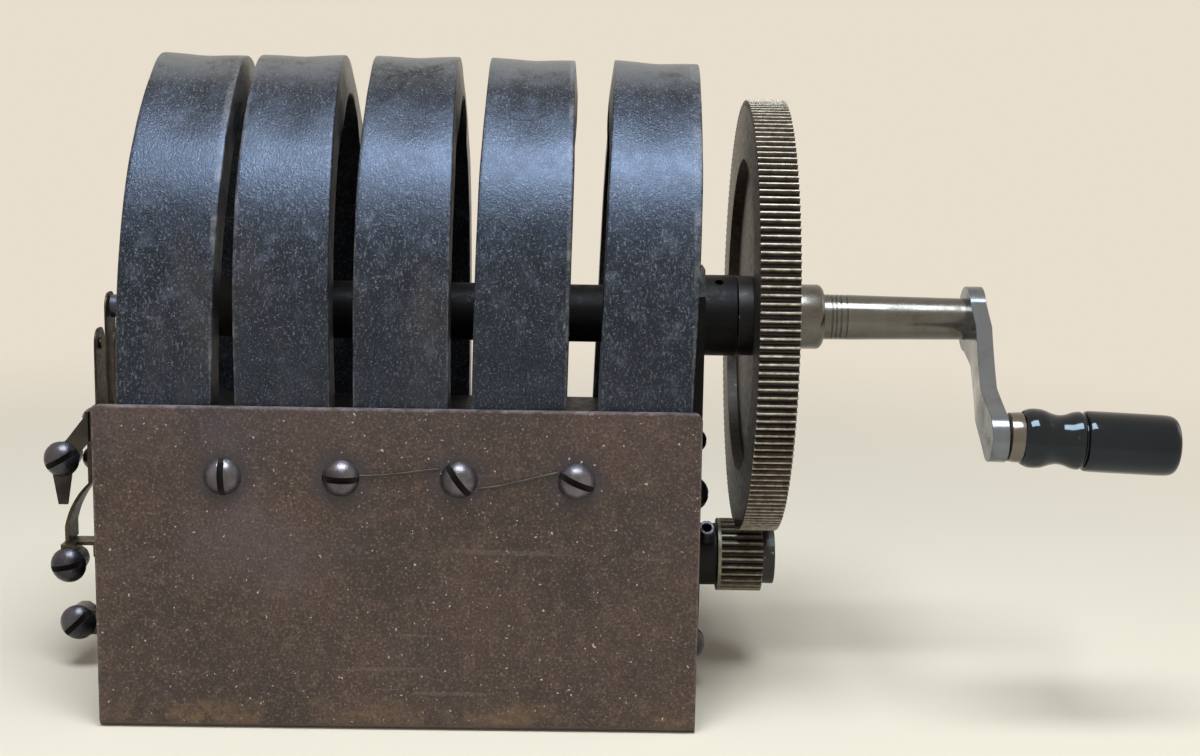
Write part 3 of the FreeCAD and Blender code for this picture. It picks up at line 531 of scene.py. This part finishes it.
magnetSpec = {"thick": 8.0, "round": 0.4, "roundSteps": 3, "sideRadius": 60.0,
              "crownRadius": 20.0, "arcSteps": 14, "crownSteps": 14, "legSteps": 8,
              "faceCuts": 5, "hollow": 0.45, "hollowSkin": 1.5, "hollowFrom": 0.3,
              "hollowSteps": ((0.12, 0.45), (0.26, 0.35), (0.38, 0.20)),
              "pinch": 0.95, "swell": 1.03, "pinchSteps": (0.0, 0.35, 0.65),
              "leans": (1.4, -0.7, 0.0, 1.0, 1.9), "pivot": 65.3,
              "wave": 0.12, "waveLength": 0.016}


def magnetMaster():
    low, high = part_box("magnet_1")
    s = magnetSpec
    width = high.x - low.x
    halfDepth = (high.y - low.y) / 2
    thick = s["thick"] * mm
    side = s["sideRadius"] * mm
    crown = s["crownRadius"] * mm
    sideY = side - halfDepth
    crownZ = high.z - crown
    reach = side - crown
    springZ = crownZ - math.sqrt(reach ** 2 - sideY ** 2)
    turn = math.acos(sideY / reach)
    bpy.ops.mesh.primitive_plane_add(size=1, location=(0, -halfDepth + thick / 2, low.z))
    bar = bpy.context.object
    bar.scale = (width, thick, 1)
    bpy.ops.object.transform_apply(location=True, rotation=True, scale=True)
    startEdit(bar)
    bpy.ops.mesh.select_all(action="SELECT")
    bpy.ops.mesh.bevel(offset=s["round"] * mm, segments=s["roundSteps"], affect="VERTICES")
    # extra points along the two broad sides, so that the crown can be hollowed
    work = bmesh.from_edit_mesh(bar.data)
    broad = [e for e in work.edges if e.calc_length() > width * 0.7]
    bmesh.ops.subdivide_edges(work, edges=broad, cuts=s["faceCuts"])
    bmesh.update_edit_mesh(bar.data)
    bpy.ops.mesh.select_all(action="SELECT")
    bpy.ops.mesh.delete(type="ONLY_FACE")
    bpy.ops.mesh.select_all(action="SELECT")
    bpy.ops.mesh.edge_face_add()
    leg = (springZ - low.z) / s["legSteps"]
    for _ in range(s["legSteps"]):
        bpy.ops.mesh.extrude_region_move(TRANSFORM_OT_translate={"value": (0, 0, leg)})
    for centre, angle, steps in (((0, sideY, springZ), turn, s["arcSteps"]),
                                 ((0, 0, crownZ), math.pi - 2 * turn, s["crownSteps"]),
                                 ((0, -sideY, springZ), turn, s["arcSteps"])):
        for _ in range(steps):
            bpy.ops.mesh.extrude_region_move(TRANSFORM_OT_translate={"value": (0, 0, 0)})
            bpy.ops.transform.rotate(value=angle / steps, orient_axis="X",
                                     center_override=centre)
    for _ in range(s["legSteps"]):
        bpy.ops.mesh.extrude_region_move(TRANSFORM_OT_translate={"value": (0, 0, -leg)})
    # the crown is hollow across its outer face and a little narrower outside than inside
    share = s["hollow"] * mm / crown
    crownCentre = Vector((0, 0, crownZ))
    for reachX, part in s["hollowSteps"]:
        pickPoints(bar, lambda p: p.z > crownZ + s["hollowFrom"] * crown
                   and abs(p.x) < reachX * width
                   and (p - crownCentre).yz.length > crown - s["hollowSkin"] * mm)
        factor = 1 - share * part
        bpy.ops.transform.resize(value=(1, factor, factor), center_override=crownCentre)
    for height in s["pinchSteps"]:
        for outer, scale in ((True, s["pinch"]), (False, s["swell"])):
            pickPoints(bar, lambda p: p.z > crownZ + height * crown - (0 if outer else thick)
                       and ((p - crownCentre).yz.length > crown - 0.5 * thick) == outer)
            factor = 1 - (1 - scale) / len(s["pinchSteps"])
            bpy.ops.transform.resize(value=(factor, 1, 1), center_override=crownCentre)
    endEdit()
    fixNormals(bar)
    return bar, width


def makeMagnets():
    s = magnetSpec
    master, width = magnetMaster()
    ripple = bpy.data.textures.new("ripple", "CLOUDS")
    ripple.noise_scale = s["waveLength"]
    for index, degrees in enumerate(s["leans"], 1):
        node = "magnet_%d" % index
        low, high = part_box(node)
        centre = (low.x + high.x) / 2
        lean = math.radians(degrees)
        pivot = Vector((centre, 0, s["pivot"] * mm))
        # a bar that leans is set lower, so that no corner of it stands above its node
        drop = Vector((0, 0, math.sin(abs(lean)) * width / 2 + s["wave"] * mm / 2))
        toPivot = Matrix.Translation(Vector((centre, 0, 0)) - pivot)
        turn = Matrix.Translation(pivot - drop) @ Matrix.Rotation(lean, 4, "Y") @ toPivot
        piece = copyOf(master, turn, "magnet_bar_%d" % index)
        addModifier(piece, "SUBSURF", levels=1, render_levels=1)
        addModifier(piece, "DISPLACE", texture=ripple, strength=s["wave"] * mm, mid_level=0.5,
                    texture_coords="LOCAL")
        smoothPiece(piece, 40, False)
        handOver(piece, node, magnetFinish(index, centre, width / 2, high.z))
    bpy.data.objects.remove(master)


makeMagnets()
print("stage: magnets done")


# Case, end brackets, gears and shafts keep their CAD form, with rounded edges

softened("case_channel", "case_shell", finishes["case"], 0.25, 3)
softened("gear_end_bracket", "gear_end_plate", finishes["bracket"], 0.35, 2)
softened("contact_end_bracket", "contact_end_plate", finishes["bracket"], 0.35, 2)
# the poles and the armature keep their CAD mesh as it is and only get a finish
for node in ("pole_piece_front", "pole_piece_rear", "pole_spacer", "pole_bridge"):
    dress(nodes[node], finishes["pole"])
dress(nodes["armature_core"], finishes["pole"])
dress(nodes["armature_winding"], finishes["winding"])
dress(nodes["armature_shaft"], finishes["shaft"])
softened("shaft_sleeve", "shaft_sleeve_tube", finishes["bracket"], 0.2)

wheelSpec = {"hub": 9.5, "neck": 8.6, "slack": 0.5}


def narrowHub(piece):
    # the hub is drawn in to the width of the boss that it runs against
    s = wheelSpec
    axis = Vector((0, 0, crankZ))
    pickPoints(piece, lambda p: abs((p - axis).yz.length - s["hub"] * mm) < s["slack"] * mm)
    factor = s["neck"] / s["hub"]
    bpy.ops.transform.resize(value=(1, factor, factor), center_override=axis)


softened("gear_wheel", "gear_wheel_cut", finishes["gear"], 0.07, 1, 40, narrowHub)
softened("pinion", "pinion_cut", finishes["pinion"], 0.06, 1, 40)
softened("crank_shaft", "crank_shaft_bar", finishes["shaft"], 0.3)
softened("drive_pin", "drive_pin_bar", finishes["shaft"], 0.15)
print("stage: case, brackets and gears done")


# Slotted round-head screws

headSpec = {"sides": 40, "rings": 30, "edge": 0.12, "edgeAngle": 35, "margin": 0.02,
            "skirt": 0.05, "floorMargin": 0.1, "wallTurn": 0.85}


def slottedHead(radius, height, slotWidth, slotDepth):
    # a dome on the XY plane, pointing up, cut by a slot along X
    s = headSpec
    ball = (radius ** 2 + height ** 2) / (2 * height)
    bpy.ops.mesh.primitive_uv_sphere_add(segments=s["sides"], ring_count=s["rings"],
                                         radius=ball, location=(0, 0, height - ball))
    head = bpy.context.object
    startEdit(head)
    bpy.ops.mesh.select_all(action="SELECT")
    bpy.ops.mesh.bisect(plane_co=(0, 0, 0), plane_no=(0, 0, 1), use_fill=True, clear_inner=True)
    endEdit()
    squareUp(head)
    bpy.ops.mesh.primitive_cube_add(size=1, location=(0, 0, height))
    cutter = bpy.context.object
    cutter.scale = (3 * radius, slotWidth, 2 * slotDepth)
    addModifier(head, "BOOLEAN", object=cutter)
    bpy.data.objects.remove(cutter)
    addModifier(head, "BEVEL", width=s["edge"] * mm, segments=2, limit_method="ANGLE",
                angle_limit=math.radians(s["edgeAngle"]))
    # the walls and the floor of the slot are painted near black: painted shade in the slot
    head.data.materials.append(finishes["screw"])
    head.data.materials.append(finishes["grimeAndShade"])
    for face in head.data.polygons:
        spot = face.center
        inside = (abs(spot.y) < slotWidth / 2 + s["margin"] * mm
                  and spot.z > s["skirt"] * mm)
        wall = (abs(face.normal.y) > s["wallTurn"]
                or spot.z < height - slotDepth + s["floorMargin"] * mm)
        face.material_index = int(inside and wall)
    return head


def placeHeads(node, spec):
    # one head on each solid of the node; facing gives the way that each one points
    radius, height, slotWidth, slotDepth = (value * mm for value in spec["size"])
    turns = spec["turns"]
    master = slottedHead(radius, height, slotWidth, slotDepth)
    heads = []
    for index, box in enumerate(solidsOf(node)):
        way = spec["facing"](box)
        along = Vector(way)
        spot = middle(box)
        axis = [abs(c) for c in way].index(1)
        spot[axis] = box[1][axis] - height if along[axis] > 0 else box[0][axis] + height
        turn = Matrix.Rotation(math.radians(turns[index % len(turns)]), 4, "Z")
        lift = along.to_track_quat("Z", "Y").to_matrix().to_4x4()
        heads.append(copyOf(master, Matrix.Translation(spot) @ lift @ turn,
                            "%s_%d" % (spec["name"], index)))
    bpy.data.objects.remove(master)
    piece = joinPieces(heads, spec["name"])
    smoothPiece(piece, 30, False)
    handOver(piece, node, finishes[spec["finish"]], finishes["grimeAndShade"])


def frontOrBack(box):
    return (0, -1, 0) if middle(box).y < 0 else (0, 1, 0)


def leftOrRight(box):
    return (-1, 0, 0) if middle(box).x < 0 else (1, 0, 0)


def toFront(box):
    return (0, -1, 0)


# size is radius, height, slot width and slot depth in millimetres
# turns are the angles of the slots in degrees, from left to right
screwSpec = {
    "clamp_screws": {"name": "case_screws", "finish": "screw", "size": (3.7, 2.5, 1.25, 1.5),
                     "facing": frontOrBack, "turns": (92, 20, -2, 75, -53, 40, -24, 10)},
    "bracket_screws": {"name": "disc_screws", "finish": "black", "size": (3.5, 2.2, 1.1, 1.3),
                       "facing": leftOrRight, "turns": (15, 70, 40, 100, 20, 160)},
    "arm_screw": {"name": "bracket_arm_screw", "finish": "black",
                  "size": (2.5, 1.6, 0.7, 0.9), "facing": leftOrRight, "turns": (20,)},
    "stack_screws": {"name": "stack_clamp_screws", "finish": "terminal",
                     "size": (2.7, 2.0, 0.7, 0.8), "facing": leftOrRight, "turns": (60, 10)},
    "lower_lug_screw": {"name": "lug_screw", "finish": "black", "size": (2.5, 1.6, 0.7, 0.9),
                        "facing": leftOrRight, "turns": (30,)},
    "terminal_screws": {"name": "terminal_heads", "finish": "terminal",
                        "size": (3.9, 2.6, 1.2, 1.5), "facing": toFront,
                        "turns": (29, 12, 43)},
}
for node, spec in screwSpec.items():
    placeHeads(node, spec)
print("stage: screws done")


# Turned pieces: a ring drawn out along X from station to station

def turnedPiece(name, stations, sides=72):
    # stations are (x, radius) in millimetres; the ends are closed
    x0, r0 = stations[0]
    bpy.ops.mesh.primitive_circle_add(vertices=sides, radius=r0 * mm, fill_type="NGON",
                                      location=(x0 * mm, 0, 0), rotation=(0, math.pi / 2, 0))
    piece = bpy.context.object
    piece.name = name
    bpy.ops.object.transform_apply(location=True, rotation=True, scale=True)
    startEdit(piece)
    bpy.ops.mesh.select_all(action="SELECT")
    lastX, lastR = x0, r0
    for x, r in stations[1:]:
        bpy.ops.mesh.extrude_region_move(
            TRANSFORM_OT_translate={"value": ((x - lastX) * mm, 0, 0)})
        bpy.ops.transform.resize(value=(1, r / lastR, r / lastR), center_override=(x * mm, 0, 0))
        lastX, lastR = x, r
    endEdit()
    fixNormals(piece)
    return piece


def curveStations(knots, steps):
    # smooth stations through a few knots
    found = []
    for i in range(len(knots) - 1):
        p0 = knots[max(i - 1, 0)]
        p1, p2 = knots[i], knots[i + 1]
        p3 = knots[min(i + 2, len(knots) - 1)]
        for step in range(steps):
            t = step / steps
            found.append(tuple(
                0.5 * (2 * b + (c - a) * t + (2 * a - 5 * b + 4 * c - d) * t * t
                       + (3 * b - a - 3 * c + d) * t ** 3)
                for a, b, c, d in zip(p0, p1, p2, p3)))
    return found + [knots[-1]]


collarSpec = {"collar": 6.95, "collarEnd": 87.2, "shank": 4.85, "tip": 4.45, "chamfer": 0.5,
              "round": ((1.1, 0.0), (0.5, 0.25), (0.0, 0.9)),
              "grooves": (89.0, 89.9, 90.9, 92.2), "grooveTop": 0.18, "grooveFloor": 0.06,
              "grooveDepth": 0.1}


def makeCollar():
    # a collar with a rounded outer edge, then a shank that tapers, with four tool marks
    low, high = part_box("crank_collar")
    s = collarSpec
    x0, x1 = low.x / mm, high.x / mm
    end, collar, shank = s["collarEnd"], s["collar"], s["shank"]
    stations = [(x0, collar - s["chamfer"]), (x0 + s["chamfer"], collar)]
    stations += [(end - back, collar - drop) for back, drop in s["round"]]
    stations.append((end, shank))
    top, floor = s["grooveTop"], s["grooveFloor"]
    for x in s["grooves"]:
        stations += [(x - top, shank), (x - floor, shank - s["grooveDepth"]),
                     (x + floor, shank - s["grooveDepth"]), (x + top, shank)]
    stations += [((end + x1) / 2, (shank + s["tip"]) / 2), (x1, s["tip"])]
    piece = turnedPiece("crank_shank", stations)
    piece.data.transform(Matrix.Translation((0, 0, crankZ)))
    smoothPiece(piece, 30, False)
    handOver(piece, "crank_collar", finishes["shank"])


# stations are the distance along the grip's axis and the radius there
gripSpec = {"tilt": 2.4, "ferrule": ((0.3, 4.4), (0.6, 4.75), (1.4, 4.85), (2.5, 4.95),
                                     (3.1, 4.9)),
            "handle": ((3.1, 5.0), (3.5, 5.35), (4.5, 5.75), (5.8, 5.85), (7.2, 5.7),
                       (8.8, 5.15), (10.2, 4.85), (11.6, 5.0), (13.0, 5.5), (14.2, 5.72),
                       (14.75, 5.55), (14.95, 5.15), (15.25, 5.15), (15.5, 5.7), (16.2, 5.95),
                       (19.0, 6.0), (24.0, 6.0), (29.0, 6.0), (31.5, 5.95), (32.6, 5.75),
                       (33.3, 5.25), (33.65, 4.3), (33.7, 3.2), (33.7, 1.0))}


def gripPlace():
    # the axis starts at the outer face of the arm's eye and dips a little
    joint = next(j for j in frame["joints"] if j["name"] == "grip_spin")
    turn = Matrix.Rotation(math.radians(gripSpec["tilt"]), 4, "Y")
    return Matrix.Translation(joint["pos_m"]) @ turn


def makeGrip():
    place = gripPlace()
    ferrule = turnedPiece("grip_ferrule_ring", gripSpec["ferrule"])
    ferrule.data.transform(place)
    smoothPiece(ferrule, 35, False)
    handOver(ferrule, "grip_ferrule", finishes["ferrule"])
    handle = turnedPiece("grip_handle_turned", curveStations(gripSpec["handle"], 3), 80)
    handle.data.transform(place)
    smoothPiece(handle, 50, False)
    handOver(handle, "grip_handle", finishes["grip"])
    dress(nodes["grip_pin"], finishes["arm"])


makeCollar()
makeGrip()
print("stage: shank and grip done")


# the crank arm keeps its CAD form, with well rounded edges
softened("crank_arm", "crank_arm_forged", finishes["arm"], 0.9, 4, 50)


# Contact springs, lugs and terminals

for node, width in (("contact_blade_inner", 0.08), ("contact_blade_outer", 0.08),
                    ("contact_blade_foot", 0.08), ("contact_blade_moving", 0.1)):
    softened(node, node + "_strip", finishes["spring"], width, 2, 40)
softened("stack_clamp_plate", "stack_plate", finishes["lug"], 0.2)
softened("stack_insulators", "stack_fibre", finishes["fibre"], 0.1)
softened("upper_lug", "upper_lug_strip", finishes["lug"], 0.18)
softened("collector_spring", "collector_strip", finishes["spring"], 0.15, 2, 40)
softened("lower_lug", "lower_lug_strip", finishes["lug"], 0.18)
softened("terminal_posts", "terminal_bosses", finishes["terminal"], 0.6, 3, 50)
softened("oil_cup", "oil_cup_pipe", finishes["terminal"], 0.25, 2, 50)
print("stage: springs and terminals done")


# Wires between the screw heads

wireSpec = {"thick": 0.21, "bow": 0.35,
            "sag": ((0, 0), (0.2, 0.9), (0.5, 0.8), (0.8, 0.1), (1, 0))}


def makeWires():
    s = wireSpec
    pieces = []
    for index, (low, high) in enumerate(solidsOf("tie_wires")):
        y = (low.y + high.y) / 2
        run = high.x - low.x
        rise = high.z - low.z
        points = [(low.x + share * run, low.z + share * rise - sag * s["bow"] * mm)
                  for share, sag in s["sag"]]
        curve = bpy.data.curves.new("wire", "CURVE")
        curve.dimensions = "3D"
        spline = curve.splines.new("NURBS")
        spline.points.add(len(points) - 1)
        for point, (x, z) in zip(spline.points, points):
            point.co = (x, y, z, 1)
        spline.use_endpoint_u = True
        spline.order_u = 3
        curve.bevel_depth = s["thick"] * mm
        curve.bevel_resolution = 3
        curve.use_fill_caps = True
        wire = bpy.data.objects.new("wire_%d" % index, curve)
        bpy.context.scene.collection.objects.link(wire)
        activate(wire)
        bpy.ops.object.convert(target="MESH")
        pieces.append(bpy.context.object)
    piece = joinPieces(pieces, "tie_wire_pair")
    smoothPiece(piece, 60, False)
    handOver(piece, "tie_wires", finishes["wire"])


makeWires()
print("stage: wires done")


# Floor, light and camera

stageSpec = {"floor": (210, 198, 178), "back": (232, 222, 206), "near": 0.16, "far": 0.5,
             "radius": 14, "sides": 96, "ambientColour": (0.92, 0.96, 1.0, 1), "ambient": 0.30}


def makeFloor():
    # the floor keeps its shadow near the part and fades to the backdrop's colour further off
    s = stageSpec
    deselectAll()
    bpy.ops.mesh.primitive_circle_add(vertices=s["sides"], radius=s["radius"],
                                      fill_type="NGON")
    floor = bpy.context.object
    floor.name = "floor"
    f = Finish("floor_pale")
    x, y = f.axis("X"), f.axis("Y")
    away = f.step((x * x + y * y) ** 0.5, s["near"], s["far"])
    matt = f.node("ShaderNodeBsdfDiffuse", None, {"Color": paint(*s["floor"])})
    glow = f.node("ShaderNodeEmission", None, {"Color": paint(*s["back"])})
    # the glow is there for every ray, so it lights the part a little too
    blend = f.node("ShaderNodeMixShader", None, {0: away, 1: matt, 2: glow})
    f.node("ShaderNodeOutputMaterial", None, {"Surface": blend})
    dress(floor, f.owner)


def makeWorld():
    # soft light for the part, and the backdrop's colour for the rays that show it
    s = stageSpec
    f = Finish("studio", True)
    bpy.context.scene.world = f.owner
    camera, glossy, through = (
        f.node("ShaderNodeLightPath", out=ray)
        for ray in ("Is Camera Ray", "Is Glossy Ray", "Is Transmission Ray"))
    shows = camera.maths("MAXIMUM", glossy).maths("MAXIMUM", through)
    backdrop = f.node("ShaderNodeBackground", None, {"Color": paint(*s["back"])})
    lit = f.node("ShaderNodeBackground", None,
                 {"Color": s["ambientColour"], "Strength": s["ambient"]})
    blend = f.node("ShaderNodeMixShader", None, {0: shows, 1: lit, 2: backdrop})
    f.node("ShaderNodeOutputWorld", None, {"Surface": blend})


lampSpec = {
    "top_window": {"place": (0.05, -0.32, 0.86), "aim": (0.02, -0.02, 0.09),
                   "size": (0.55, 0.36), "power": 12.0, "colour": (0.78, 0.89, 1.0)},
    "front_fill": {"place": (-0.35, -0.95, 0.42), "aim": (0.0, 0, 0.06),
                   "size": (0.6, 0.45), "power": 3.0, "colour": (1.0, 0.96, 0.91),
                   "glossy": False},
    "side_fill": {"place": (0.95, 0.15, 0.5), "aim": (0.05, 0, 0.06), "size": (0.5, 0.5),
                  "power": 1.2, "colour": (1.0, 0.97, 0.93)},
}


def addLamp(name, spec):
    lamp = bpy.data.lights.new(name, "AREA")
    lamp.shape = "RECTANGLE"
    lamp.size, lamp.size_y = spec["size"]
    lamp.energy = spec["power"]
    lamp.color = spec["colour"]
    holder = bpy.data.objects.new(name, lamp)
    bpy.context.scene.collection.objects.link(holder)
    holder.location = spec["place"]
    holder.rotation_mode = "QUATERNION"
    beam = Vector(spec["aim"]) - Vector(spec["place"])
    holder.rotation_quaternion = beam.to_track_quat("-Z", "Y")
    holder.visible_glossy = spec.get("glossy", True)


cameraSpec = {"place": (0.03451, -0.40073, 0.13293), "yaw": 0.013048, "pitch": 0.167804,
              "roll": 0.017452, "lens": 56.351, "sensor": 36, "near": 0.01}


def makeCamera():
    s = cameraSpec
    camera = bpy.data.cameras.new("camera")
    holder = bpy.data.objects.new("camera", camera)
    bpy.context.scene.collection.objects.link(holder)
    turn = (Matrix.Rotation(-s["yaw"], 4, "Z")
            @ Matrix.Rotation(math.pi / 2 - s["pitch"], 4, "X")
            @ Matrix.Rotation(s["roll"], 4, "Z"))
    holder.matrix_world = Matrix.Translation(s["place"]) @ turn
    camera.sensor_width = s["sensor"]
    camera.lens = s["lens"]
    camera.clip_start = s["near"]
    bpy.context.scene.camera = holder


makeFloor()
makeWorld()
for name, spec in lampSpec.items():
    addLamp(name, spec)
makeCamera()
bpy.context.scene.view_settings.view_transform = "Standard"
print("stage: light and camera done")
